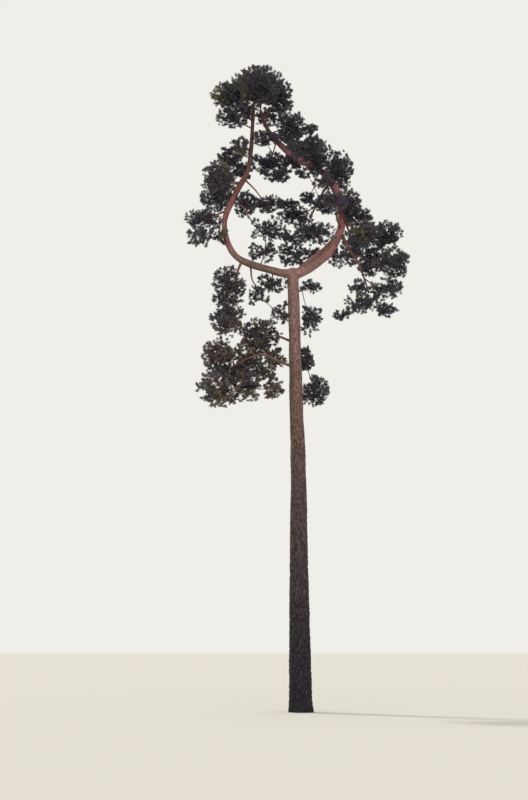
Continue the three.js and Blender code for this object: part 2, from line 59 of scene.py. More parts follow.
MM = 0.001  # the tables of places and sizes are in millimetres

# Camera: eye height, on a level with the tree's foot, looking up
CAMERA_PLACE = (0, -30.6, 1.6)
CAMERA_PITCH = 12.7
CAMERA_YAW = 1.8387
LENS = 50
SENSOR = 36
FURTHEST_SEEN = 2000

# The long members: the points that their axes pass through and their radius at each point
MEMBERS = {
    "trunk": (
        [(0, 0, 0), (-20, 0, 1870), (-26, 0, 4010), (-22, 0, 6220), (-73, 0, 8490), (-112, 0, 10850),
         (-150, 0, 12300)],
        [308, 284, 250, 217, 190, 164, 166],
    ),
    "left": (
        [(-150, 0, 12240), (-667, -45, 12305), (-1789, -170, 12735), (-2127, -250, 13705),
         (-1800, -195, 14681), (-1419, -110, 15608), (-1290, -100, 17450)],
        [118, 110, 88, 74, 78, 62, 42],
    ),
    "right": (
        [(-130, 0, 12180), (460, 50, 12525), (1008, 150, 13099), (1310, 250, 14043), (923, 250, 15321),
         (-154, 200, 16041), (-829, 200, 16805), (-1090, 140, 17420)],
        [146, 138, 126, 110, 100, 90, 60, 42],
    ),
    "inner": (
        [(-20, -10, 12300), (380, 60, 12720), (770, 200, 13060), (1020, 420, 13420)],
        [52, 46, 38, 28],
    ),
}

# Boughs: the member that each leaves, the share of the way along that, its radius at its foot and its tip,
# and the points it passes
BOUGHS = {
    "ring_left": ("left", 0.76, (26, 18), [(-1300, -150, 14860), (-1090, -60, 14620)]),
    "ring_thin": (
        "left", 0.624, (24, 14),
        [(-1600, -330, 14190), (-1370, -390, 13780), (-1240, -380, 13560)],
    ),
    "ring_right": ("right", 0.556, (44, 24), [(760, -40, 14730), (560, -150, 14330), (400, -220, 13930)]),
    "right_drop": ("right", 0.366, (52, 22), [(1530, 60, 12960), (1810, -20, 12400), (2030, -90, 11620)]),
    "right_reach": ("right", 0.415, (44, 26), [(1490, 60, 13780), (1610, -130, 13560)]),
    "left_drop": ("left", 0.302, (40, 24), [(-1760, -230, 12120), (-1800, -260, 11420)]),
    "under_fork": ("left", 0.269, (26, 15), [(-1330, -60, 12100), (-1190, 0, 11840)]),
    "low_arch": (
        "trunk", 0.731, (46, 24),
        [(-500, -150, 9570), (-920, -270, 9730), (-1340, -380, 9660), (-1920, -500, 9300)],
    ),
    "low_left": ("trunk", 0.78, (40, 26), [(-380, 170, 10330), (-640, 300, 10480)]),
    "left_reach": ("left", 0.566, (36, 24), [(-2240, -300, 14010), (-2420, -320, 13890)]),
    "right_back": ("right", 0.442, (40, 26), [(1440, 600, 13990), (1590, 1050, 13830)]),
    "left_back": ("left", 0.781, (38, 26), [(-1740, 240, 15190), (-2030, 740, 15400)]),
    "front_right": ("right", 0.376, (36, 24), [(1150, -300, 13800), (1080, -940, 13920)]),
}

# Clouds of foliage: what each grows from, the share of the way along that, how full it is (above 1 it has
# more sprays, below 1 fewer tufts), the piece that its needles are joined into, the colours that its sprays
# are dealt, and its space as one or more lobes, each the middle of an ellipsoid and its three half axes
CLOUDS = {
    "cap_front": ("left", 1, 1.75, "cap", "sunlit", [(-1140, -600, 17870, 800, 850, 440)]),
    "cap_back": ("right", 1, 1.75, "cap", "sunlit", [(-1160, 900, 18690, 800, 900, 440)]),
    "cap_left": (
        "left", 0.962, 1.6, "cap", "sunlit",
        [(-2020, -150, 17790, 560, 800, 240), (-1880, -100, 18060, 340, 450, 170)],
    ),
    "cap_right": ("right", 0.952, 1.7, "cap", "shaded", [(-570, 250, 17980, 480, 950, 290)]),
    "skirt_left": (
        "left", 0.941, 1.2, "cap", "shaded",
        [(-1910, -350, 17050, 540, 700, 220), (-1500, -250, 17330, 330, 450, 190)],
    ),
    "skirt_right": ("right", 0.927, 1.1, "cap", "shaded", [(-900, 750, 17590, 500, 650, 190)]),
    "shoulder_high": (
        "right", 0.846, 1.5, "shoulder", "shaded",
        [(-210, 150, 17000, 430, 850, 390), (290, 0, 16800, 320, 300, 130),
         (-180, 150, 16500, 330, 450, 210)],
    ),
    "shoulder_front": (
        "right", 0.722, 1.5, "shoulder", "shaded",
        [(260, -900, 15740, 620, 650, 290), (640, -300, 15540, 330, 450, 240)],
    ),
    "shoulder_back": ("right", 0.702, 1.5, "shoulder", "shaded", [(470, 1250, 16650, 590, 700, 290)]),
    "shoulder_low": ("right", 0.573, 1.5, "shoulder", "shaded", [(1230, 350, 15560, 450, 1000, 470)]),
    "flank_right": (
        "right", 0.484, 1.4, "right", "shaded",
        [(1490, 250, 14370, 370, 950, 430), (1880, 700, 14250, 330, 500, 230)],
    ),
    "reach_right_high": (
        "right_reach", 1, 1.4, "right", "green",
        [(1880, -750, 13150, 460, 800, 310), (2570, 150, 13430, 460, 850, 360)],
    ),
    "reach_right_mid": (
        "right_drop", 0.4, 1.3, "right", "green",
        [(2200, 700, 12950, 420, 600, 300), (2740, -250, 12440, 530, 800, 370),
         (2060, 150, 12430, 300, 400, 190)],
    ),
    "drop_right_high": (
        "right_drop", 0.82, 1.15, "right", "shaded",
        [(2480, -350, 11620, 550, 600, 250), (1740, -750, 11560, 300, 450, 170)],
    ),
    "drop_right_low": (
        "right_drop", 1, 1.1, "right", "shaded",
        [(1800, 100, 11330, 580, 650, 210), (2490, -400, 11000, 330, 500, 180),
         (1330, 350, 11080, 330, 350, 120)],
    ),
    "back_right": ("right_back", 1, 1, "right", "green", [(1780, 1600, 13770, 440, 650, 470)]),
    "high_left": (
        "left", 0.883, 1.2, "left", "green",
        [(-1640, -450, 16000, 300, 500, 240), (-1990, 100, 15890, 380, 700, 290),
         (-1640, 150, 15560, 300, 450, 300)],
    ),
    "shoulder_left": ("left", 0.738, 1.3, "left", "green", [(-2280, -750, 14990, 420, 800, 280)]),
    "flank_left": ("left", 0.635, 1.3, "left", "green", [(-2400, 0, 14680, 480, 1000, 320)]),
    "reach_left": (
        "left_reach", 1, 1.15, "left", "green",
        [(-2790, 160, 14000, 640, 590, 270), (-2830, -600, 13190, 360, 500, 250),
         (-2280, -450, 13260, 320, 400, 230)],
    ),
    "back_left": ("left_back", 1, 1.2, "left", "green", [(-2320, 1300, 15690, 440, 650, 550)]),
    "ring_top": (
        "right", 0.802, 1.3, "ring", "shaded",
        [(-830, 650, 15990, 620, 550, 320), (-930, -100, 16430, 470, 450, 160),
         (-180, 450, 15960, 400, 450, 260), (-560, 300, 15450, 440, 350, 170)],
    ),
    "ring_band": (
        "ring_left", 1, 1.4, "ring", "shaded",
        [(-860, 150, 14460, 440, 500, 210), (-280, 450, 14590, 360, 350, 110),
         (-1520, 50, 14440, 450, 420, 370)],
    ),
    "ring_right_high": (
        "ring_right", 0.4, 1.1, "ring", "shaded",
        [(760, -500, 14230, 430, 500, 340), (260, -150, 15290, 420, 350, 110),
         (300, -300, 14440, 220, 350, 150), (780, -300, 14960, 330, 350, 170)],
    ),
    "ring_middle": ("ring_right", 0.72, 1.4, "ring", "shaded", [(-60, 430, 14210, 560, 450, 200)]),
    "ring_right_low": ("ring_right", 1, 1.3, "ring", "shaded", [(420, -450, 13320, 660, 700, 290)]),
    "ring_left_low": (
        "ring_thin", 1, 1, "ring", "shaded",
        [(-860, -350, 13500, 600, 450, 340), (-240, -250, 13270, 300, 400, 210)],
    ),
    "ring_floor": (
        "left", 0.229, 0.8, "ring", "shaded",
        [(-1000, 180, 12980, 520, 450, 280), (-200, 220, 13000, 450, 420, 260),
         (350, 300, 12960, 330, 350, 200), (-150, 150, 12720, 480, 330, 150)],
    ),
    "drop_left_high": ("left_drop", 0.5, 1.1, "lower_left", "dull", [(-1950, -250, 11900, 470, 800, 480)]),
    "drop_left_low": (
        "left_drop", 1, 1.1, "lower_left", "dull",
        [(-2030, -250, 10860, 500, 850, 520), (-1990, -250, 11420, 440, 600, 200)],
    ),
    "under_fork": ("left", 0.181, 0.9, "lower_left", "shaded", [(-710, 100, 12000, 530, 450, 260)]),
    "under_fork_low": (
        "under_fork", 1, 0.9, "lower_left", "dull",
        [(-1150, 60, 11580, 320, 330, 330), (-480, 200, 11140, 270, 350, 340)],
    ),
    "low_left_high": ("low_left", 1, 1.1, "low", "dull", [(-1090, 500, 10590, 660, 850, 360)]),
    "low_left_mid": (
        "low_arch", 0.74, 1.1, "low", "brown",
        [(-1480, 250, 9760, 560, 700, 440), (-2250, -150, 9780, 530, 850, 430),
         (-780, 480, 9870, 430, 450, 320), (-1250, 300, 10190, 640, 500, 190),
         (-1900, -100, 9300, 750, 600, 200), (-1050, 0, 9300, 500, 450, 200)],
    ),
    "low_left_low": (
        "low_arch", 1, 1.1, "low", "brown",
        [(-2250, -400, 8740, 600, 850, 500), (-1500, -300, 8820, 480, 700, 430),
         (-740, 0, 8830, 300, 400, 320)],
    ),
    "trunk_tuft_high": (
        "trunk", 0.925, 0.9, "lower_right", "shaded",
        [(390, 350, 11950, 370, 350, 160), (330, 350, 10970, 340, 500, 500)],
    ),
    "trunk_tuft_low": (
        "trunk", 0.77, 1.5, "lower_right", "shaded",
        [(190, 350, 9780, 250, 450, 370), (450, 300, 8820, 430, 550, 420)],
    ),
    "drop_right_inner": (
        "right", 0.28, 0.9, "lower_right", "shaded",
        [(1150, 460, 12900, 310, 450, 260), (1610, 900, 13070, 300, 400, 270)],
    ),
    "front_right": ("front_right", 1, 1, "lower_right", "green", [(1060, -1440, 13880, 360, 480, 230)]),
}

# The trunk and limbs
FORK_HEIGHT = 12.3
ROOT_FLARE = 0.038
FLARE_HEIGHT = 0.26
FLARE_RIDGES = 5
FLARE_RIDGE = 0.45  # how much the ridges of the flare add to it and their hollows take, as a share of it
FLARE_TURN = 0.6  # the turn of the ridges round the trunk, in radians
FLARE_OVAL = 0.2  # how much wider the flare is on two sides, as a share of it
BELOW_GROUND = 0.15  # the trunk is made this much too long, and then cut level at the ground
CROWN_OF_TRUNK = [(0.06, 0.86), (0.105, 0.45)]  # rise and share of the width of its rounded top
AXIS_STEP = 0.03
CURVE_STEP = 3 * AXIS_STEP
CURVE_SMOOTHNESS = 8
TANGENT_STEP = 0.002  # in shares of an axis
VOXEL = 0.019
REMESH_LOSS = 1.5  # what smoothing takes off a limb: this times the voxel's square over its radius
FUSE = 6  # rounds of smoothing that fuse the limbs into the trunk
FUSE_FACTOR = 0.5
NEAR_POINTS = 6  # how many points of the axes a corner of the skin is tried against

# The bark's plates
PLATES_AROUND = {"trunk": 24, "left": 9, "right": 12, "inner": 6}
PLATE_LENGTH = {"trunk": 0.17, "left": 0.16, "right": 0.16, "inner": 0.12}
PLATE_DEPTH = (0.017, 0.0035)  # at the ground, and from the fork up
PLATE_DATUM = 0.75  # the share of the depth that lies below the limb's own surface
PLATE_UNEVENNESS = 0.35  # how much the plates differ in height, as a share of the depth
PLATE_SHIFT = (0.7, 0.8)  # how far a plate's middle strays from its cell's, round the limb and along it
FISSURE_WIDTH = 0.5  # in plates
WANDER = 1.1  # how far the fissures wander sideways over longer stretches, in plates
WAVER = (0.4, 0.5)  # how far they waver over short ones, round the limb and along it, in plates
WANDER_SIZE = 0.55
WAVER_SIZE = 0.12
WAVER_SEED = 7
LUMPS = 0.012  # how far the wood swells and shrinks over the longer stretches
MEMBER_SHIFT = 31  # plates by which each member's pattern starts further on than that of the one before
CELL_MIX = (127.1, 311.7, 74.7)  # these two lines scatter the numbers of cells over 0 to 1
CELL_SPREAD = 43758.5453
FAR = 9.0  # further than any plate, in plates

# Sprays, scattered by the source's rule but closer
SPRAY_SHARE = 0.8  # the length of a spray, as a share of the way from its lobe's middle to its tip
SHORTEST_SPRAY = 0.26
LONGEST_SPRAY = 0.52
OUTWARD = 0.8  # a spray leans out of its lobe and up by these parts
UPWARD = 0.3
ROLL = 1.2  # how far it may turn about its own length, in radians
SPRAY_ROOM = 0.26  # the part of a lobe's surface that each spray has, in square metres
SPACE_REACH = 1.1  # how far a mass may pass its lobes, in their own half axes
PAST_BOX = 0.03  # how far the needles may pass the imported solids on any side
LAYERS = [(0.84, 0.98, 1), (0.42, 0.74, 0.45)]  # where the sprays' tips lie in a lobe, and their share
TRIES = 60  # places looked at for each spray
CHOICE = 10  # and how many of those that fit it is chosen from

# Stems, twigs and the joints that they leave from
LEG_STEP = 0.08
FEWEST_RINGS = 5
LEG_MEETING = 0.105  # a joint as near as this to the start of a leg is where the leg leaves
MOST_FROM_STEM = 3
MOST_FROM_TWIG = 2
PATH_COST = 0.35  # what a metre of the path back to the foot counts for, against one of the twig's own
TAKEN_COST = 9  # keeps a spray off a joint that has all its twigs
FORK_SHARES = (0.5, 0.52)  # where along a twig the next one may leave, and a point just beyond
TWIG_EASE = 0.35  # how far a twig runs on in the way of the joint, and of its spray, as a share of its reach
TWIG_LEAN = 0.5  # how much of the joint's own way its start keeps
WOOD_CLEAR = 0.03  # how far twigs and needles stay from the members and boughs
ROD_STEP = 0.15
STEM_SHARE = 0.8  # the most of its limb's radius that a stem's foot has
STEM_FOOT = 0.026
STEM_TIP = 0.009
LATER_LEG = 1.4  # how thick the later legs of a stem start, in tips
STEM_BEND = 0.07
STEM_SAG = 0.06
TWIG_RADIUS = 0.0042
THICKEST_TWIG = 2.2  # in those radii
TWIG_RINGS = 5
SHOOT_RADIUS = 0.0024
SHOOT_TIP = 0.0013
FIRST_SEED = 101
SEED_STEP = 37

# Boughs
BOUGH_STEP = 0.03
BOUGH_FLARE = (0.5, 0.12)  # how much wider a bough starts, and over what length it narrows
BEND_SIZE = 0.3  # over what length, about, its axis bends aside and back
BEND_SEEDS = (0, 11, 23)
BOUGH_WANDER = 0.02
BOUGH_EASE = 4  # its ends don't wander: this is how fast the middle starts to
TUBE_SIDES = {"bough": 12, "stem": 7, "twig": 4, "shoot": 3}

# Side shoots of a spray: how far along it they leave, and how far out they reach, in spray lengths
SIDE_SHOOTS = [(0.1, 0.3), (0.3, 0.42), (0.5, 0.42), (0.68, 0.32), (0.85, 0.2)]
SHOOT_SHIFT = 0.12  # how much the places vary, in spray lengths
SHOOT_REACH = (0.75, 1.25)
SHOOT_ANGLE = (38, 62)
SHOOT_SPREAD = 0.7  # how far a shoot leaves the plane of its spray, as a share of its own length
SPREAD_LIMITS = (-0.8, 1.2)
TWIGLET = (0.4, 0.14)  # how far along a shoot its own side shoot leaves it, and how long that is
TWIGLET_CHANCE = 0.3
TWIGLET_STRAY = 2.2  # how far it may turn from its shoot
TWIGLET_LENGTHS = (0.7, 1.3)
BARE_SHOOTS = 0.04
SPRAY_TIP_RISE = 0.02

# Needles, wider than life so that their count gives the crown its full look
TUFT_KINDS = 12
NEEDLES = 30
TUFT_LENGTH = 0.07
TUFT_SIZES = (0.82, 1.2)
TUFT_SUNK = 0.8  # the share of a tuft that lies on its shoot
TUFT_RISE = 0.35  # how much it turns up from its shoot
FIRST_NEEDLE = 0.05  # how far along the tuft the first needle leaves, as a share
NEEDLE_ROOT = 0.001  # how far from the shoot's middle a needle starts
NEEDLE_LENGTH = 0.06
NEEDLE_LENGTHS = (0.78, 1.1)
NEEDLE_WIDTH = 0.0155
NEEDLE_WIDEST = 0.42
NEEDLE_RISE = 0.07  # how far a needle curves, in needle lengths
NEEDLE_LEAN = (68, 24)  # degrees from the shoot, at its foot and at its tip
LEAN_BEND = 1.6  # how late along the tuft the needles turn up
LEAN_VARIES = 16
GOLDEN_ANGLE = 2.399963
TURN_VARIES = 0.6

UP = np.array([0.0, 0.0, 1.0])
TOWARDS_FRONT = np.array([0.0, -1.0, 0.02])
TOWARDS_SUN = (-0.55, 0.35, 0.75)


def unit(vectors):
    vectors = np.asarray(vectors, float)
    return vectors / np.linalg.norm(vectors, axis=-1, keepdims=True)


def dot(first, second):
    return (first * second).sum(axis=1)


def smooth_step(low, high, value):
    share = np.clip((value - low) / (high - low), 0, 1)
    return share * share * (3 - 2 * share)


SUN_WAY = unit(TOWARDS_SUN)


def pick(limits, random):
    """A random number between two limits."""
    low, high = limits
    return low + (high - low) * random.random()


class Axis:
    """A smooth line through points, with a radius that runs smoothly from each point to the next."""

    def __init__(self, through, radii):
        values = np.column_stack([through, radii]).astype(float) * MM
        before = 2 * values[0] - values[1]
        after = 2 * values[-1] - values[-2]
        self.values = np.vstack([before, values, after])
        line = self.point(np.linspace(0, 1, 200))
        self.length = np.linalg.norm(np.diff(line, axis=0), axis=1).sum()

    def at(self, shares):
        spans = len(self.values) - 3
        place = np.clip(np.atleast_1d(shares), 0, 1) * spans
        first = np.minimum(place.astype(int), spans - 1)
        w = (place - first)[:, None]
        a, b, c, d = (self.values[first + i] for i in range(4))
        square = 2 * a - 5 * b + 4 * c - d
        cube = 3 * b - a - 3 * c + d
        return 0.5 * (2 * b + (c - a) * w + square * w**2 + cube * w**3)

    def point(self, shares):
        return self.at(shares)[:, :3]

    def radius(self, shares):
        return self.at(shares)[:, 3]

    def shares(self, step):
        return np.linspace(0, 1, max(3, math.ceil(self.length / step)))


def all_axes():
    """The axes of the members and the boughs; each bough starts on the axis that it leaves."""
    made = {name: Axis(through, radii) for name, (through, radii) in MEMBERS.items()}
    for name, (bearer, at, (foot, tip), through) in BOUGHS.items():
        points = [made[bearer].point(at)[0] / MM, *through]
        made[name] = Axis(points, np.linspace(foot, tip, len(points)))
    return made


axes = all_axes()


# Meshes


def link(name, mesh):
    piece = bpy.data.objects.new(name, mesh)
    bpy.context.collection.objects.link(piece)
    return piece


def mesh_from(name, corners, face_groups, materials, material_of=None, smooth=True):
    """A mesh object from arrays: face_groups holds one array of faces for each number of corners."""
    mesh = bpy.data.meshes.new(name)
    mesh.vertices.add(len(corners))
    mesh.vertices.foreach_set("co", np.asarray(corners, np.float32).ravel())
    loops = np.concatenate([group.ravel() for group in face_groups])
    sizes = np.concatenate([np.full(len(group), group.shape[1]) for group in face_groups])
    mesh.loops.add(len(loops))
    mesh.loops.foreach_set("vertex_index", loops.astype(np.int32))
    mesh.polygons.add(len(sizes))
    starts = np.concatenate([[0], np.cumsum(sizes)[:-1]])
    mesh.polygons.foreach_set("loop_start", starts.astype(np.int32))
    if material_of is not None:
        mesh.polygons.foreach_set("material_index", np.asarray(material_of, np.int32))
    mesh.polygons.foreach_set("use_smooth", np.full(len(sizes), smooth))
    for material in materials:
        mesh.materials.append(material)
    mesh.update(calc_edges=True)
    mesh.validate()
    return link(name, mesh)


def only(*objects):
    """Makes these objects the selected ones, and the first of them the active one."""
    bpy.ops.object.select_all(action="DESELECT")
    for thing in objects:
        thing.select_set(True)
    bpy.context.view_layer.objects.active = objects[0]


def apply_modifier(kind, **settings):
    bpy.ops.object.modifier_add(type=kind)
    modifier = bpy.context.object.modifiers[-1]
    for name, value in settings.items():
        setattr(modifier, name, value)
    bpy.ops.object.modifier_apply(modifier=modifier.name)


def tubes(paths, radii, sides):
    """Corners, quads and end caps of tubes that all have the same number of rings."""
    paths = np.asarray(paths, float)
    radii = np.asarray(radii, float)
    count, rings = radii.shape
    along = unit(np.gradient(paths, axis=1))
    chord = unit(paths[:, -1] - paths[:, 0])
    guide = np.where(np.abs(chord[:, 2:]) > 0.8, np.array([[1.0, 0.0, 0.0]]), UP)
    side = unit(np.cross(along, guide[:, None]))
    lift = np.cross(side, along)
    angles = 2 * math.pi * np.arange(sides) / sides
    ring = side[:, :, None] * np.cos(angles)[:, None] + lift[:, :, None] * np.sin(angles)[:, None]
    corners = (paths[:, :, None] + ring * radii[:, :, None, None]).reshape(-1, 3)
    grid = np.arange(count * rings * sides).reshape(count, rings, sides)
    turned = np.roll(grid, -1, axis=2)
    quads = np.stack([grid[:, :-1], turned[:, :-1], turned[:, 1:], grid[:, 1:]], axis=-1).reshape(-1, 4)
    caps = np.concatenate([grid[:, 0, ::-1], grid[:, -1]])
    return corners, quads, caps


def joined(parts):
    """One set of corners, quads and caps from several, faces renumbered; the caps may differ in size."""
    corners, quads, caps = [], [], {}
    base = 0
    for part_corners, part_quads, part_caps in parts:
        corners.append(part_corners)
        quads.append(part_quads + base)
        caps.setdefault(part_caps.shape[1], []).append(part_caps + base)
        base += len(part_corners)
    faces = [np.concatenate(group) for group in (quads, *caps.values())]
    return np.concatenate(corners), faces


# The trunk and limbs: tubes along their axes, fused into one skin, with the bark's plates raised on it


def limb_curve(name):
    """A tube along a member's axis, made as a curve with a round section."""
    axis = axes[name]
    shares = axis.shares(CURVE_STEP)
    points = axis.point(shares)
    radii = axis.radius(shares)
    radii = radii + REMESH_LOSS * VOXEL**2 / radii
    if name == "trunk":
        top = [points[-1] + UP * rise for rise, _ in CROWN_OF_TRUNK]
        points = np.vstack([points[0] - UP * BELOW_GROUND, points, *top])
        radii = np.concatenate([radii[:1], radii, [radii[-1] * share for _, share in CROWN_OF_TRUNK]])
    curve = bpy.data.curves.new(name, "CURVE")
    curve.dimensions = "3D"
    curve.bevel_depth = 1
    curve.bevel_resolution = CURVE_SMOOTHNESS
    curve.use_fill_caps = True
    spline = curve.splines.new("POLY")
    spline.points.add(len(points) - 1)
    spline.points.foreach_set("co", np.column_stack([points, np.ones(len(points))]).ravel())
    spline.points.foreach_set("radius", radii)
    return link(name, curve)


def fused_skin():
    """The trunk and limbs joined and remeshed to one even skin."""
    only(*(limb_curve(name) for name in MEMBERS))
    bpy.ops.object.convert(target="MESH")
    bpy.ops.object.join()
    apply_modifier("REMESH", mode="VOXEL", voxel_size=VOXEL)
    apply_modifier("SMOOTH", factor=FUSE_FACTOR, iterations=FUSE)
    return bpy.context.object


def cell_noise(column, row, salt):
    """A number from 0 to 1 for each cell of a grid."""
    mixed = np.sin(column * CELL_MIX[0] + row * CELL_MIX[1] + salt * CELL_MIX[2]) * CELL_SPREAD
    return mixed - np.floor(mixed)


def plates(around, along, columns):
    """The way to the nearest fissure between plates, in plates, and each plate's own number from 0 to 1.

    around and along count plates, and around closes on itself after the given number of columns.
    """
    column = np.floor(around)
    row = np.floor(along)
    nearest = np.full(len(around), FAR)
    second = np.full(len(around), FAR)
    plate = np.zeros(len(around))
    for i in (-1, 0, 1):
        for j in (-1, 0, 1):
            wrapped = np.mod(column + i, columns)
            x = column + i + 0.5 + PLATE_SHIFT[0] * (cell_noise(wrapped, row + j, 1) - 0.5)
            y = row + j + 0.5 + PLATE_SHIFT[1] * (cell_noise(wrapped, row + j, 2) - 0.5)
            reach = np.hypot(around - x, along - y)
            closer = reach < nearest
            second = np.where(closer, nearest, np.minimum(second, reach))
            plate = np.where(closer, cell_noise(wrapped, row + j, 3), plate)
            nearest = np.where(closer, reach, nearest)
    return second - nearest, plate


def nearest_axis(corners):
    """For each corner of the skin: the member it belongs to, how far along that, and the axis's point."""
    names = list(MEMBERS)
    shares = [axes[name].shares(AXIS_STEP) for name in names]
    points = np.vstack([axes[name].point(part) for name, part in zip(names, shares)])
    radii = np.concatenate([axes[name].radius(part) for name, part in zip(names, shares)])
    owner = np.repeat(np.arange(len(names)), [len(part) for part in shares])
    tree = kdtree.KDTree(len(points))
    for i, point in enumerate(points):
        tree.insert(point, i)
    tree.balance()
    nearest = np.empty(len(corners), int)
    for i, corner in enumerate(corners):
        found = tree.find_n(corner, NEAR_POINTS)
        nearest[i] = min(found, key=lambda hit: hit[2] - radii[hit[1]])[1]
    return owner[nearest], np.concatenate(shares)[nearest], points[nearest]


def flare_at(height, angle):
    ridges = 1 + FLARE_RIDGE * np.cos(FLARE_RIDGES * angle + FLARE_TURN) + FLARE_OVAL * np.cos(2 * angle)
    return ROOT_FLARE * ridges * np.exp(-np.maximum(height, 0) / FLARE_HEIGHT)


def slow_noise(corners, size, seed):
    return np.array([noise.noise(Vector(c) / size + Vector((seed, 0, 0))) for c in corners])


def around_limb(axis, share, away):
    """For corners on a limb: the way along it, the way out of it, and the angle round it from the front."""
    tangent = unit(axis.point(share + TANGENT_STEP) - axis.point(share - TANGENT_STEP))
    side = unit(np.cross(tangent, TOWARDS_FRONT))
    front = np.cross(side, tangent)
    out = unit(away - tangent * dot(away, tangent)[:, None] + 1e-9)
    return tangent, out, np.arctan2(dot(out, side), dot(out, front))


def bark_of(name, index, height, share, away, swell, waver):
    """One member's bark: how far each corner moves, its fissure, its plate's number and the way it faces."""
    axis = axes[name]
    tangent, out, angle = around_limb(axis, share, away)
    columns = PLATES_AROUND[name]
    around = (angle / (2 * math.pi) + 0.5) * columns + WAVER[0] * waver + WANDER * swell
    along = (share * axis.length + dot(away, tangent)) / PLATE_LENGTH[name]
    edge, number = plates(around, along + WAVER[1] * waver + MEMBER_SHIFT * index, columns)
    rise = smooth_step(0, FISSURE_WIDTH, edge)
    high = smooth_step(0, 1, height / FORK_HEIGHT)
    depth = PLATE_DEPTH[0] * (1 - high) + PLATE_DEPTH[1] * high
    lift = depth * (rise - PLATE_DATUM + PLATE_UNEVENNESS * (number - 0.5)) + LUMPS * swell
    if name == "trunk":
        lift = lift + flare_at(height, angle)
    return out * lift[:, None], (1 - rise) * depth / PLATE_DEPTH[0], number, out[:, 0]


def raise_bark(wood):
    """Moves the skin out over the flare and the plates, and keeps what the bark's colours need."""
    mesh = wood.data
    corners = np.empty(len(mesh.vertices) * 3, np.float32)
    mesh.vertices.foreach_get("co", corners)
    corners = corners.reshape(-1, 3).astype(float)
    member, share, middle = nearest_axis(corners)
    given = (corners[:, 2], share, corners - middle, slow_noise(corners, WANDER_SIZE, 0),
             slow_noise(corners, WAVER_SIZE, WAVER_SEED))
    move = np.zeros((len(corners), 3))
    looks = {name: np.zeros(len(corners)) for name in ("fissure", "plate", "facing")}
    for index, name in enumerate(MEMBERS):
        here = member == index
        move[here], *found = bark_of(name, index, *(values[here] for values in given))
        for look, values in zip(looks.values(), found):
            look[here] = values
    mesh.vertices.foreach_set("co", (corners + move).astype(np.float32).ravel())
    for name, values in looks.items():
        mesh.attributes.new(name, "FLOAT", "POINT").data.foreach_set("value", values.astype(np.float32))
    mesh.update()


def cut_level(wood):
    """Cuts the trunk off level at the ground and closes the cut."""
    only(wood)
    bpy.ops.object.mode_set(mode="EDIT")
    bpy.ops.mesh.select_all(action="SELECT")
    bpy.ops.mesh.bisect(plane_co=(0, 0, 0), plane_no=(0, 0, 1), clear_inner=True, use_fill=True)
    bpy.ops.object.mode_set(mode="OBJECT")


# Materials


def new_material(name):
    material = bpy.data.materials.new(name)
    material.use_nodes = True
    return material, material.node_tree, material.node_tree.nodes["Principled BSDF"]


def add_node(tree, kind, inputs=None, **settings):
    made = tree.nodes.new(kind)
    for name, value in settings.items():
        setattr(made, name, value)
    for name, value in (inputs or {}).items():
        if isinstance(value, bpy.types.NodeSocket):
            tree.links.new(value, made.inputs[name])
        else:
            made.inputs[name].default_value = value
    return made


def ramp(tree, factor, stops):
    made = add_node(tree, "ShaderNodeValToRGB", {"Fac": factor})
    band = made.color_ramp
    while len(band.elements) < len(stops):
        band.elements.new(0.5)
    for element, (place, colour) in zip(band.elements, stops):
        element.position = place
        element.color = (*colour, 1)
    return made.outputs["Color"]


def mix_colours(tree, factor, first, second, way="MIX"):
    made = add_node(tree, "ShaderNodeMix", data_type="RGBA", blend_type=way)
    if isinstance(factor, bpy.types.NodeSocket):
        tree.links.new(factor, made.inputs["Factor"])
    else:
        made.inputs["Factor"].default_value = factor
    for socket, value in ((made.inputs["A"], first), (made.inputs["B"], second)):
        if isinstance(value, bpy.types.NodeSocket):
            tree.links.new(value, socket)
        else:
            socket.default_value = (*value, 1)
    return made.outputs["Result"]


def map_range(tree, value, low, high, to_low=0.0, to_high=1.0):
    inputs = {"Value": value, "From Min": low, "From Max": high, "To Min": to_low, "To Max": to_high}
    return add_node(tree, "ShaderNodeMapRange", inputs).outputs["Result"]


def noise_at(tree, vector, scale, detail=4.0, roughness=0.6):
    inputs = {"Vector": vector, "Scale": scale, "Detail": detail, "Roughness": roughness}
    return add_node(tree, "ShaderNodeTexNoise", inputs).outputs["Fac"]


def scaled(tree, colour, factor):
    inputs = {"Vector": colour, "Scale": factor}
    return add_node(tree, "ShaderNodeVectorMath", inputs, operation="SCALE").outputs["Vector"]


def attribute(tree, name):
    return add_node(tree, "ShaderNodeAttribute", attribute_name=name).outputs["Fac"]


# Colours of the bark up the tree, each at its share of the span of height; each limb has its own
BARK_SPAN = 16.0
# the dark foot is partly the bark's own darker grey and partly painted shade of the shadow round the foot
TRUNK_TONES_AND_PAINTED_SHADE = [
    (0.0, (0.034, 0.03, 0.04)),
    (0.13, (0.052, 0.043, 0.053)),
    (0.31, (0.1, 0.074, 0.08)),
    (0.5, (0.19, 0.118, 0.105)),
    (0.63, (0.27, 0.165, 0.16)),
]
# the right limb's top is darker as painted shade under the foliage
RIGHT_TONES_AND_PAINTED_SHADE = [
    (0.76, (0.33, 0.195, 0.185)),
    (0.8, (0.43, 0.23, 0.21)),
    (0.86, (0.5, 0.22, 0.23)),
    (0.93, (0.42, 0.19, 0.2)),
    (1.0, (0.34, 0.155, 0.165)),
]
# the left limb is darker above about 14 m as painted shade under the foliage; its olive-brown near the fork
# is its own
LEFT_TONES_AND_PAINTED_SHADE = [
    (0.76, (0.21, 0.145, 0.11)),
    (0.8, (0.33, 0.19, 0.17)),
    (0.86, (0.36, 0.16, 0.165)),
    (0.9, (0.23, 0.11, 0.095)),
    (1.0, (0.16, 0.09, 0.08)),
]
LEFT_SIDE = (-0.9, -0.25)  # across these the left limb's colours give way to the right one's
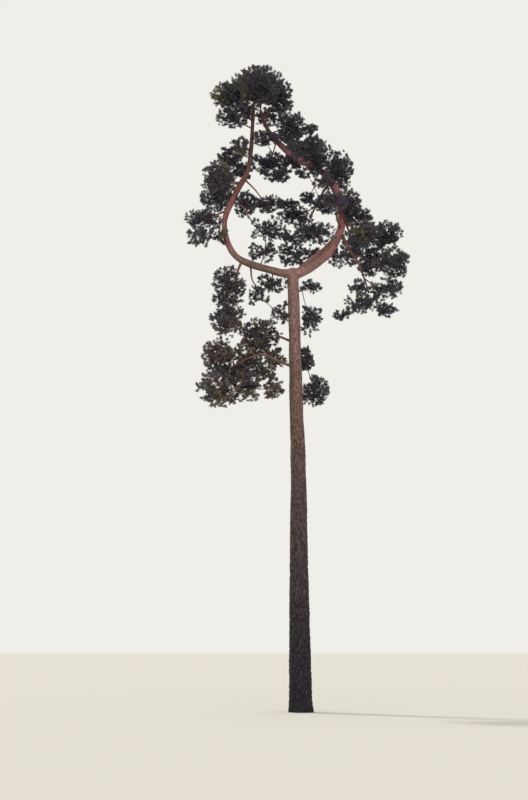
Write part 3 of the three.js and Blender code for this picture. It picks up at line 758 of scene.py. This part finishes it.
# painted side shading: each member darker and greener on its left side, pinker on its right
PAINTED_SIDE_SHADE = [
    (0.1, (0.74, 0.8, 0.72)),
    (0.5, (1.0, 1.0, 1.0)),
    (0.9, (1.0, 0.9, 0.95)),
]
TONE_DRIFT = 0.8  # how far up and down the bands of colour wander
STRAND_STRETCH = 0.38  # flecks run up the wood: their pattern's scale up it, as a share of that across it
FLECKS_PER_METRE = 28.0
FLECK_CONTRAST = (0.6, 0.2)  # on the trunk, and on the limbs
CONTRAST_HEIGHTS = (9.5, 13)


def bark_base(tree, place):
    """The colours up the trunk and on each limb, in bands that wander a little, with painted shade in the
    trunk's dark foot and in the limbs' darker tops.
    """
    sides = add_node(tree, "ShaderNodeSeparateXYZ", {"Vector": place}).outputs
    drift = map_range(tree, noise_at(tree, place, 1.1, 3), 0.3, 0.7, -TONE_DRIFT, TONE_DRIFT)
    shifted = add_node(tree, "ShaderNodeMath", {0: sides["Z"], 1: drift}, operation="ADD").outputs["Value"]
    share = map_range(tree, shifted, 0.0, BARK_SPAN)
    left = ramp(tree, share, TRUNK_TONES_AND_PAINTED_SHADE + LEFT_TONES_AND_PAINTED_SHADE)
    right = ramp(tree, share, TRUNK_TONES_AND_PAINTED_SHADE + RIGHT_TONES_AND_PAINTED_SHADE)
    return mix_colours(tree, map_range(tree, sides["X"], *LEFT_SIDE), left, right), sides["Z"]


def bark_material():
    """Finely flecked bark in plates: dark violet-grey at the foot, partly painted shade, paler further up,
    pinker on the limbs, with painted shade on each member's left side.
    """
    material, tree, shader = new_material("bark")
    place = add_node(tree, "ShaderNodeTexCoord").outputs["Object"]
    base, height = bark_base(tree, place)
    # painted shade on each member's left side, and a pinker right side
    side_shade = ramp(tree, map_range(tree, attribute(tree, "facing"), -1, 1), PAINTED_SIDE_SHADE)
    side_shaded = mix_colours(tree, 1.0, base, side_shade, "MULTIPLY")
    stretch = {"Vector": place, "Scale": (1, 1, STRAND_STRETCH)}
    strands = add_node(tree, "ShaderNodeMapping", stretch).outputs["Vector"]
    contrast = map_range(tree, height, *CONTRAST_HEIGHTS, *FLECK_CONTRAST)
    fleck = map_range(tree, noise_at(tree, strands, FLECKS_PER_METRE, 3), 0.36, 0.66, -0.95, 1.15)
    shade = {0: fleck, 1: contrast, 2: 1.0}
    flecks = add_node(tree, "ShaderNodeMath", shade, operation="MULTIPLY_ADD").outputs["Value"]
    flecked = scaled(tree, side_shaded, flecks)
    toned = scaled(tree, flecked, map_range(tree, attribute(tree, "plate"), 0, 1, 0.86, 1.14))
    split = scaled(tree, toned, map_range(tree, attribute(tree, "fissure"), 0, 1, 1, 0.5))
    tree.links.new(split, shader.inputs["Base Color"])
    shader.inputs["Roughness"].default_value = 0.92
    shader.inputs["Specular IOR Level"].default_value = 0.2
    grain = noise_at(tree, strands, 60.0, 6, 0.7)
    bump = add_node(tree, "ShaderNodeBump", {"Strength": 0.7, "Distance": 0.008, "Height": grain})
    tree.links.new(bump.outputs["Normal"], shader.inputs["Normal"])
    return material


def bough_material():
    """The thin flaking bark of boughs and stems."""
    material, tree, shader = new_material("bough_bark")
    place = add_node(tree, "ShaderNodeTexCoord").outputs["Object"]
    patches = noise_at(tree, place, 5.0, 5)
    base = ramp(tree, patches, [
        (0.3, (0.1, 0.062, 0.056)),
        (0.5, (0.19, 0.1, 0.082)),
        (0.7, (0.3, 0.155, 0.12)),
    ])
    tree.links.new(base, shader.inputs["Base Color"])
    shader.inputs["Roughness"].default_value = 0.9
    grain = noise_at(tree, place, 60.0, 5, 0.7)
    bump = add_node(tree, "ShaderNodeBump", {"Strength": 0.5, "Distance": 0.004, "Height": grain})
    tree.links.new(bump.outputs["Normal"], shader.inputs["Normal"])
    return material


def plain_material(name, colour, roughness=0.65):
    material, _, shader = new_material(name)
    shader.inputs["Base Color"].default_value = (*colour, 1)
    shader.inputs["Roughness"].default_value = roughness
    shader.inputs["Specular IOR Level"].default_value = 0.25
    return material


TWIG_COLOUR = (0.07, 0.042, 0.036)
TWIG_ROUGHNESS = 0.9

# The colours that sprays are dealt, and how often each kind of cloud deals them
# deep is painted shade, dealt most by shaded clouds; olive is partly the needles' own yellower tint and
# partly painted sunlight
NEEDLE_COLOURS = {
    "deep": (0.09, 0.083, 0.116),
    "dark": (0.118, 0.108, 0.14),
    "green": (0.122, 0.124, 0.126),
    "olive": (0.2, 0.18, 0.11),
    "brown": (0.215, 0.165, 0.13),
}
COLOUR_NAMES = list(NEEDLE_COLOURS)
DEALT = {
    "shaded": {"deep": 5, "dark": 5, "green": 1},
    "green": {"deep": 3, "dark": 5, "green": 2, "olive": 0.6},
    "sunlit": {"deep": 3, "dark": 4, "green": 2, "olive": 1},
    "dull": {"deep": 3, "dark": 4, "green": 2, "olive": 0.6, "brown": 1},
    "brown": {"deep": 2, "dark": 3, "green": 2, "olive": 1, "brown": 4},
}
SUNLIT_OLIVE = 9  # how many more times olive is dealt to a spray that faces the sun


# The crown


class Cloud:
    """One mass of foliage: the foot of its stem, its lobes and its own source of numbers."""

    def __init__(self, index, name):
        bearer, at, self.fullness, self.piece, self.palette, lobes = CLOUDS[name]
        self.name = name
        self.index = index
        self.foot = axes[bearer].point(at)[0]
        self.foot_radius = min(axes[bearer].radius(at)[0] * STEM_SHARE, STEM_FOOT)
        self.lobes = np.array(lobes, float) * MM
        self.random = np.random.default_rng(FIRST_SEED + SEED_STEP * index)


clouds = [Cloud(index, name) for index, name in enumerate(CLOUDS)]
all_lobes = np.vstack([cloud.lobes for cloud in clouds])
lobe_owner = np.concatenate([np.full(len(cloud.lobes), cloud.index) for cloud in clouds])


def wood_rods():
    """Every axis as short straight rods: their two ends and their radius."""
    starts, ends, radii = [], [], []
    for axis in axes.values():
        shares = axis.shares(ROD_STEP)
        points = axis.point(shares)
        starts.append(points[:-1])
        ends.append(points[1:])
        radii.append(axis.radius(shares)[:-1])
    return np.vstack(starts), np.vstack(ends), np.concatenate(radii)


rod_start, rod_end, rod_radius = wood_rods()
rod_way = rod_end - rod_start
rod_square = (rod_way**2).sum(axis=1)


def keeps_to_space(cloud, points):
    """Whether points lie in a cloud's own lobes, and deeper in them than in any other cloud's."""
    deep = np.linalg.norm((points[:, None] - all_lobes[:, :3]) / all_lobes[:, 3:], axis=2)
    own = deep[:, lobe_owner == cloud.index].min(axis=1)
    others = deep[:, lobe_owner != cloud.index].min(axis=1)
    return (own < SPACE_REACH) & (own < others)


def clear_of_wood(points, gap):
    """Whether points lie further than the gap from every member and bough."""
    from_start = points[:, None] - rod_start
    share = np.clip((from_start * rod_way).sum(axis=2) / rod_square, 0, 1)
    reach = np.linalg.norm(from_start - share[:, :, None] * rod_way, axis=2)
    return (reach - rod_radius > gap).all(axis=1)


def keeps_to_box(points):
    """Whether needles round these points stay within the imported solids' box, but for a little."""
    reach = NEEDLE_LENGTH * TUFT_SIZES[1] - PAST_BOX
    return ((points > BOX_LOW + reach) & (points < BOX_HIGH - reach)).all(axis=1)


def is_free(cloud, points):
    return keeps_to_space(cloud, points) & clear_of_wood(points, WOOD_CLEAR)


def sprays_somewhere(lobe, layer, random, count):
    """Sprays with their tips near a lobe's surface, which lean out of the lobe and upwards."""
    middle, half = lobe[:3], lobe[3:]
    inner, outer, _ = layer
    ways = unit(random.random((count, 3)) - 0.5)
    tips = ways * (inner + (outer - inner) * random.random((count, 1))) * half + middle
    out = tips - middle
    length = np.clip(np.linalg.norm(out, axis=1) * SPRAY_SHARE, SHORTEST_SPRAY, LONGEST_SPRAY)
    fullness = min(1, half[2] / half[0])
    along = unit(unit(out) * OUTWARD + UP * UPWARD * fullness)
    roll = ROLL * fullness * (2 * random.random(count) - 1)
    return tips, along, length, roll


def most_room(tips, sprays):
    """Which of these tips is furthest from the tips of the sprays so far."""
    if not sprays:
        return 0
    others = np.array([spray["tip"] for spray in sprays])
    return np.linalg.norm(tips[:, None] - others, axis=2).min(axis=1).argmax()


def scatter(cloud, lobe, sprays):
    """Spreads sprays evenly: each takes the place, of those found, that is furthest from the others."""
    x, y, z = lobe[3:]
    area = 4 * math.pi * (x * y + x * z + y * z) / 3
    for layer in LAYERS:
        for _ in range(max(1, round(area / SPRAY_ROOM * max(1, cloud.fullness) * layer[2]))):
            tips, along, length, roll = sprays_somewhere(lobe, layer, cloud.random, TRIES)
            roots = tips - along * length[:, None]
            fits = is_free(cloud, tips) & is_free(cloud, roots) & is_free(cloud, (tips + roots) / 2)
            found = np.flatnonzero(fits)[:CHOICE]
            if not len(found):
                continue
            best = found[most_room(tips[found], sprays)]
            sprays.append({
                "tip": tips[best], "root": roots[best], "along": along[best], "length": length[best],
                "roll": roll[best],
            })


def bezier(points, shares):
    """Points on a curve from the first of four points to the last, drawn by the two between."""
    a, b, c, d = points
    w = np.asarray(shares)[:, None]
    return a * (1 - w) ** 3 + 3 * b * w * (1 - w) ** 2 + 3 * c * w**2 * (1 - w) + d * w**3


def stem_legs(cloud):
    """The stem: each leg runs to the middle of a lobe from the nearest end or middle of an earlier leg."""
    legs = []
    for middle in cloud.lobes[:, :3]:
        starts = [leg[share] for leg in legs for share in (-1, len(leg) // 2)]
        start = min(starts, key=lambda p: np.linalg.norm(p - middle)) if starts else cloud.foot
        reach = np.linalg.norm(middle - start)
        bend = (cloud.random.random(3) - 0.5) * 2 * STEM_BEND * reach
        sag = np.array([0, 0, -STEM_SAG * reach])
        first = start + (middle - start) / 3 + bend + sag
        second = start + (middle - start) * 2 / 3 - bend + sag
        rings = np.linspace(0, 1, max(FEWEST_RINGS, math.ceil(reach / LEG_STEP)))
        legs.append(bezier([start, first, second, middle], rings))
    return legs


class Joints:
    """Where twigs may leave: places, ways on, paths back to the foot, and how many each may still bear."""

    def __init__(self, legs):
        self.places = []
        self.ways = []
        self.paths = []
        self.free = []
        for leg in legs:
            self.add_leg(leg)

    def add(self, place, way, path, free):
        self.places.append(place)
        self.ways.append(way)
        self.paths.append(path)
        self.free.append(free)

    def add_leg(self, leg):
        """Adds the joints of one leg, whose paths count on from the joint that the leg leaves."""
        steps = np.linalg.norm(np.diff(leg, axis=0), axis=1)
        apart = [np.linalg.norm(place - leg[0]) for place in self.places]
        start = min((path for path, gap in zip(self.paths, apart) if gap < LEG_MEETING), default=0.0)
        for i in range(1, len(leg)):
            self.add(leg[i], unit(leg[i] - leg[i - 1]), start + steps[:i].sum(), MOST_FROM_STEM)

    def best_for(self, root):
        """The joint with the shortest way from a spray's root back to the foot, and how far off it is."""
        reach = np.linalg.norm(np.array(self.places) - root, axis=1)
        cost = reach + PATH_COST * np.array(self.paths) + TAKEN_COST * (np.array(self.free) < 1)
        joint = int(cost.argmin())
        return joint, reach[joint]


def twig_line(start, way, spray, reach):
    """A twig from a joint to a spray's root, as the four points that draw its curve."""
    lean = unit(TWIG_LEAN * way + unit(spray["root"] - start))
    ease = TWIG_EASE
    return [start, start + lean * reach * ease, spray["root"] - spray["along"] * reach * ease, spray["root"]]


def branch(cloud, legs):
    """Joins each spray, the nearest first, to its best joint; a twig bears the later ones that leave it."""
    joints = Joints(legs)
    sprays = []
    for lobe in cloud.lobes:
        scatter(cloud, lobe, sprays)
    sprays.sort(key=lambda spray: np.linalg.norm(spray["root"] - cloud.foot))
    twigs = {}
    for spray in sprays:
        joint, reach = joints.best_for(spray["root"])
        control = twig_line(joints.places[joint], joints.ways[joint], spray, reach)
        joints.free[joint] -= 1
        twigs[len(joints.places)] = {"control": control, "spray": spray, "load": 1, "bearer": joint}
        down = joint
        while down in twigs:
            twigs[down]["load"] += 1
            down = twigs[down]["bearer"]
        fork = bezier(control, FORK_SHARES)
        joints.add(fork[0], unit(fork[1] - fork[0]), joints.paths[joint] + reach / 2, MOST_FROM_TWIG)
    return list(twigs.values())


def shoots_of(spray, random):
    """The side shoots of a spray as starts and ends, in its own plane but for some spread."""
    along = spray["along"]
    length = spray["length"]
    turn = spray["roll"]
    level = unit(np.cross(along, UP))
    upright = np.cross(level, along)
    side = level * math.cos(turn) + upright * math.sin(turn)
    lift = upright * math.cos(turn) - level * math.sin(turn)
    starts, ends = [], []
    for forward, reach in SIDE_SHOOTS:
        for hand in (-1, 1):
            place = forward + SHOOT_SHIFT * (random.random() - 0.5)
            out = reach * pick(SHOOT_REACH, random) * length
            angle = math.radians(pick(SHOOT_ANGLE, random))
            start = spray["root"] + along * length * place
            spread = lift * out * SHOOT_SPREAD * pick(SPREAD_LIMITS, random)
            end = start + along * out / math.tan(angle) + side * hand * out + spread
            starts.append(start)
            ends.append(end)
            if random.random() < TWIGLET_CHANCE:
                fork = start + (end - start) * TWIGLET[0]
                stray = (random.random(3) - 0.5) * TWIGLET_STRAY * np.linalg.norm(end - start)
                starts.append(fork)
                ends.append(fork + unit(end - start + stray) * TWIGLET[1] * pick(TWIGLET_LENGTHS, random))
    return np.array(starts), np.array(ends)


# Needles


def needle(share, turn, random):
    """The four corners of a needle that leaves its shoot at a share of the tuft's length and at a turn."""
    foot, tip = NEEDLE_LEAN
    lean = math.radians(foot + (tip - foot) * share**LEAN_BEND + LEAN_VARIES * (random.random() - 0.5))
    length = NEEDLE_LENGTH * pick(NEEDLE_LENGTHS, random)
    out = np.array([math.cos(turn), math.sin(turn), 0])
    way = out * math.sin(lean) + UP * math.cos(lean)
    flat = unit(np.cross(way, UP))
    roll = math.pi * random.random()
    across = (flat * math.cos(roll) + np.cross(way, flat) * math.sin(roll)) * NEEDLE_WIDTH / 2
    root = UP * TUFT_LENGTH * (FIRST_NEEDLE + (1 - FIRST_NEEDLE) * share) + out * NEEDLE_ROOT
    waist = root + way * length * NEEDLE_WIDEST - UP * length * NEEDLE_RISE
    return [root, waist + across, root + way * length, waist - across]


def tuft_kind(random):
    """The corners and faces of one tuft: needles round a shoot that runs from the origin along +Z."""
    corners, faces = [], []
    for i in range(NEEDLES):
        turn = i * GOLDEN_ANGLE + TURN_VARIES * random.random()
        base = len(corners)
        corners += needle((i + 0.5) / NEEDLES, turn, random)
        faces += [(base, base + 1, base + 3), (base + 1, base + 2, base + 3)]
    return np.array(corners), np.array(faces)


class Tufts:
    """The tufts of one piece, gathered as they grow."""

    def __init__(self):
        self.rows = []

    def add(self, root, way, size, colour, random):
        kind = int(random.random() * TUFT_KINDS)
        turn = 2 * math.pi * random.random()
        self.rows.append((root, way, size, colour, kind, turn))

    def mesh(self, name, kinds, materials):
        """One mesh of all the tufts, each a turned copy of its kind."""
        roots, ways, sizes, colours, chosen, turns = (np.array(column) for column in zip(*self.rows))
        guide = np.where(np.abs(ways[:, 2:]) > 0.9, np.array([[1.0, 0.0, 0.0]]), UP)
        first = unit(np.cross(ways, guide))
        second = np.cross(ways, first)
        x = first * np.cos(turns)[:, None] + second * np.sin(turns)[:, None]
        frames = np.stack([x, np.cross(ways, x), ways], axis=-1)
        corners, faces, material_of = [], [], []
        base = 0
        for kind, (kind_corners, kind_faces) in enumerate(kinds):
            here = np.flatnonzero(chosen == kind)
            turned = np.einsum("nij,kj->nki", frames[here], kind_corners)
            corners.append((roots[here][:, None] + turned * sizes[here][:, None, None]).reshape(-1, 3))
            offsets = base + np.arange(len(here)) * len(kind_corners)
            faces.append((kind_faces + offsets[:, None, None]).reshape(-1, 3))
            material_of.append(np.repeat(colours[here], len(kind_faces)))
            base += len(here) * len(kind_corners)
        faces = [np.concatenate(faces)]
        return mesh_from(name, np.concatenate(corners), faces, materials, np.concatenate(material_of), False)


def deal_colour(cloud, spray):
    """A colour for a spray by its cloud's palette; sprays that face the sun are dealt more olive."""
    weights = np.array([DEALT[cloud.palette].get(name, 0) for name in COLOUR_NAMES], float)
    if cloud.palette == "sunlit":
        weights[COLOUR_NAMES.index("olive")] *= 1 + SUNLIT_OLIVE * max(0, spray["along"] @ SUN_WAY)
    return cloud.random.choice(len(weights), p=weights / weights.sum())


def fitting_shoots(cloud, spray):
    """The shoots of a spray, its own axis the last, that keep to the cloud's space and clear of the wood."""
    starts, ends = shoots_of(spray, cloud.random)
    starts = np.vstack([starts, spray["root"]])
    ends = np.vstack([ends, spray["tip"] + UP * SPRAY_TIP_RISE])
    free = is_free(cloud, ends) & is_free(cloud, (starts + ends) / 2) & keeps_to_box(ends)
    return starts[free], ends[free]


def tip_tuft(cloud, start, end, colour, tufts):
    """Sets a tuft of needles on the end of a shoot, unless the shoot stays bare."""
    random = cloud.random
    if random.random() < BARE_SHOOTS or random.random() > cloud.fullness:
        return
    way = unit(end - start + UP * TUFT_RISE * np.linalg.norm(end - start))
    size = pick(TUFT_SIZES, random)
    tufts.add(end - way * TUFT_LENGTH * size * TUFT_SUNK, way, size, colour, random)


def grow_crown():
    """Grows every cloud; returns the tubes of the stems, twigs and shoots, and the tufts of each piece."""
    stems, twig_paths, twig_radii, shoot_paths = [], [], [], []
    tufts = {cloud.piece: Tufts() for cloud in clouds}
    rings = np.linspace(0, 1, TWIG_RINGS)
    for cloud in clouds:
        legs = stem_legs(cloud)
        for i, leg in enumerate(legs):
            foot = cloud.foot_radius if i == 0 else STEM_TIP * LATER_LEG
            stems.append((leg, np.linspace(foot, STEM_TIP, len(leg))))
        for twig in branch(cloud, legs):
            foot = TWIG_RADIUS * min(math.sqrt(twig["load"]), THICKEST_TWIG)
            twig_paths.append(bezier(twig["control"], rings))
            twig_radii.append(foot + (TWIG_RADIUS - foot) * rings)
            colour = deal_colour(cloud, twig["spray"])
            for start, end in zip(*fitting_shoots(cloud, twig["spray"])):
                shoot_paths.append([start, end])
                tip_tuft(cloud, start, end, colour, tufts[cloud.piece])
    shoot_radii = np.tile([SHOOT_RADIUS, SHOOT_TIP], (len(shoot_paths), 1))
    return stems, (twig_paths, twig_radii), (shoot_paths, shoot_radii), tufts


def bough_tubes(stems):
    """The boughs, whose axes wander a little, and the stems of the clouds, as tubes."""
    parts = []
    for name in BOUGHS:
        axis = axes[name]
        shares = axis.shares(BOUGH_STEP)
        path = axis.point(shares)
        aside = np.column_stack([slow_noise(path, BEND_SIZE, seed) for seed in BEND_SEEDS])
        ease = np.minimum(1, BOUGH_EASE * shares) * np.minimum(1, BOUGH_EASE * (1 - shares))
        path = path + aside * BOUGH_WANDER * ease[:, None]
        flare = 1 + BOUGH_FLARE[0] * np.exp(-shares * axis.length / BOUGH_FLARE[1])
        parts.append(tubes([path], [axis.radius(shares) * flare], TUBE_SIDES["bough"]))
    for path, radii in stems:
        parts.append(tubes([path], [radii], TUBE_SIDES["stem"]))
    return parts


def build_wood():
    """The trunk and limbs: one skin with the bark's relief, cut level at the ground."""
    wood = fused_skin()
    wood.name = "trunk_and_limbs"
    raise_bark(wood)
    cut_level(wood)
    only(wood)
    bpy.ops.object.shade_smooth()
    wood.data.materials.clear()
    wood.data.materials.append(bark_material())
    return wood


def build_tree():
    wood = build_wood()
    stems, twigs, shoots, tufts = grow_crown()
    boughs = mesh_from("boughs", *joined(bough_tubes(stems)), [bough_material()])
    twig_bark = plain_material("twig_bark", TWIG_COLOUR, TWIG_ROUGHNESS)
    twig_pieces = [
        mesh_from("twigs", *joined([tubes(*twigs, TUBE_SIDES["twig"])]), [twig_bark]),
        mesh_from("shoots", *joined([tubes(*shoots, TUBE_SIDES["shoot"])]), [twig_bark]),
    ]
    kinds = [tuft_kind(np.random.default_rng(FIRST_SEED + kind)) for kind in range(TUFT_KINDS)]
    colours = [plain_material(f"needles_{name}", NEEDLE_COLOURS[name]) for name in COLOUR_NAMES]
    needles = {piece: gathered.mesh(f"needles_{piece}", kinds, colours) for piece, gathered in tufts.items()}
    return wood, boughs, twig_pieces, needles


def hold(wood, boughs, twig_pieces, needles):
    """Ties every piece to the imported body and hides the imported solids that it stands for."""
    nodes = list(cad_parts)
    for piece in (wood, boughs, *twig_pieces, *needles.values()):
        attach(piece, "root")
    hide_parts("trunk", *(name for name in nodes if name.startswith("limb_")))
    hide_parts(*(name for name in nodes if name.startswith("bough_")))
    for piece, shown in needles.items():
        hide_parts(*(f"foliage_{cloud.name}" for cloud in clouds if cloud.piece == piece))


# Surroundings

FLOOR_SIZE = 1200
FLOOR_COLOUR = (0.62, 0.605, 0.57)
FLOOR_ROUGHNESS = 0.9
SKY_COLOUR = (0.871, 0.855, 0.807)
SUN_STRENGTH = 1.6
SUN_SPREAD = 6
SUN_COLOUR = (1, 0.95, 0.86)


def make_floor():
    """A plain level floor under the tree."""
    bpy.ops.object.select_all(action="DESELECT")
    bpy.ops.mesh.primitive_plane_add(size=FLOOR_SIZE, location=(0, 0, 0))
    floor = bpy.context.object
    floor.name = "floor"
    floor.data.materials.append(plain_material("floor", FLOOR_COLOUR, FLOOR_ROUGHNESS))


def make_light():
    """An even pale sky, and a soft sun from above and behind on the left."""
    world = bpy.data.worlds.new("sky")
    bpy.context.scene.world = world
    world.use_nodes = True
    sky = world.node_tree.nodes["Background"]
    sky.inputs["Color"].default_value = (*SKY_COLOUR, 1)
    sky.inputs["Strength"].default_value = 1
    light = bpy.data.lights.new("sun", "SUN")
    light.energy = SUN_STRENGTH
    light.angle = math.radians(SUN_SPREAD)
    light.color = SUN_COLOUR
    sun = link("sun", light)
    sun.rotation_euler = Vector(-SUN_WAY).to_track_quat("-Z", "Y").to_euler()
    bpy.context.scene.view_settings.view_transform = "Standard"


def make_camera():
    """The camera at eye height in front of the tree, turned up to the crown."""
    camera = bpy.data.cameras.new("camera")
    camera.lens = LENS
    camera.sensor_width = SENSOR
    camera.clip_end = FURTHEST_SEEN
    holder = link("camera", camera)
    holder.location = CAMERA_PLACE
    holder.rotation_euler = (math.radians(90 + CAMERA_PITCH), 0, math.radians(CAMERA_YAW))
    bpy.context.scene.camera = holder


make_camera()
hold(*build_tree())
make_floor()
make_light()
